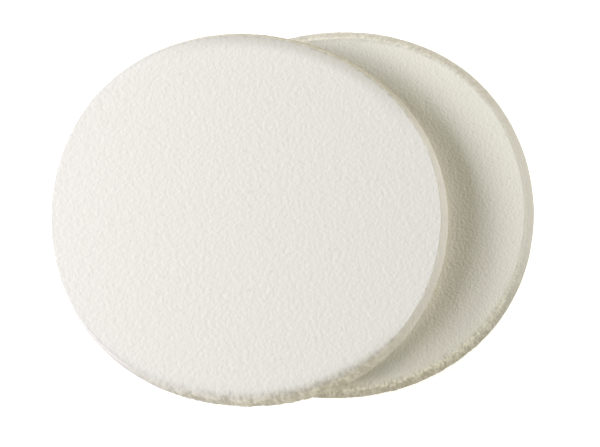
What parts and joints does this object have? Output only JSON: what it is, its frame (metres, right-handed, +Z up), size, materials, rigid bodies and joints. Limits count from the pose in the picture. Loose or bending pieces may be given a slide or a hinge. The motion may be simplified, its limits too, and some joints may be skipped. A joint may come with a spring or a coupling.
{
  "type": "round makeup sponge",
  "caption": "Flat round foam makeup sponge with a swollen cut rim, lying loose across its twin, for blending foundation and powder on the face.",
  "frame": {"origin": "middle of the lower sponge's underside, where it lies on the table", "axes": "+Z up through the thickness of both sponges, +X along the longer reach of the pair, away from the upper sponge's overhang"},
  "size_m": [0.0855, 0.0732, 0.0103],
  "materials": {
    "ivory_foam": "matte open-cell latex foam with a fine grain and a rougher cut rim"
  },
  "bodies": {
    "lower_sponge": {"lower_sponge": "ivory_foam"},
    "upper_sponge": {"upper_sponge": "ivory_foam"}
  },
  "joints": [
    {"name": "upper_sponge_lift", "type": "slide", "parent": "lower_sponge", "child": "upper_sponge", "axis": [0, 0, 1], "range_m": [0, 0.06]}
  ]
}
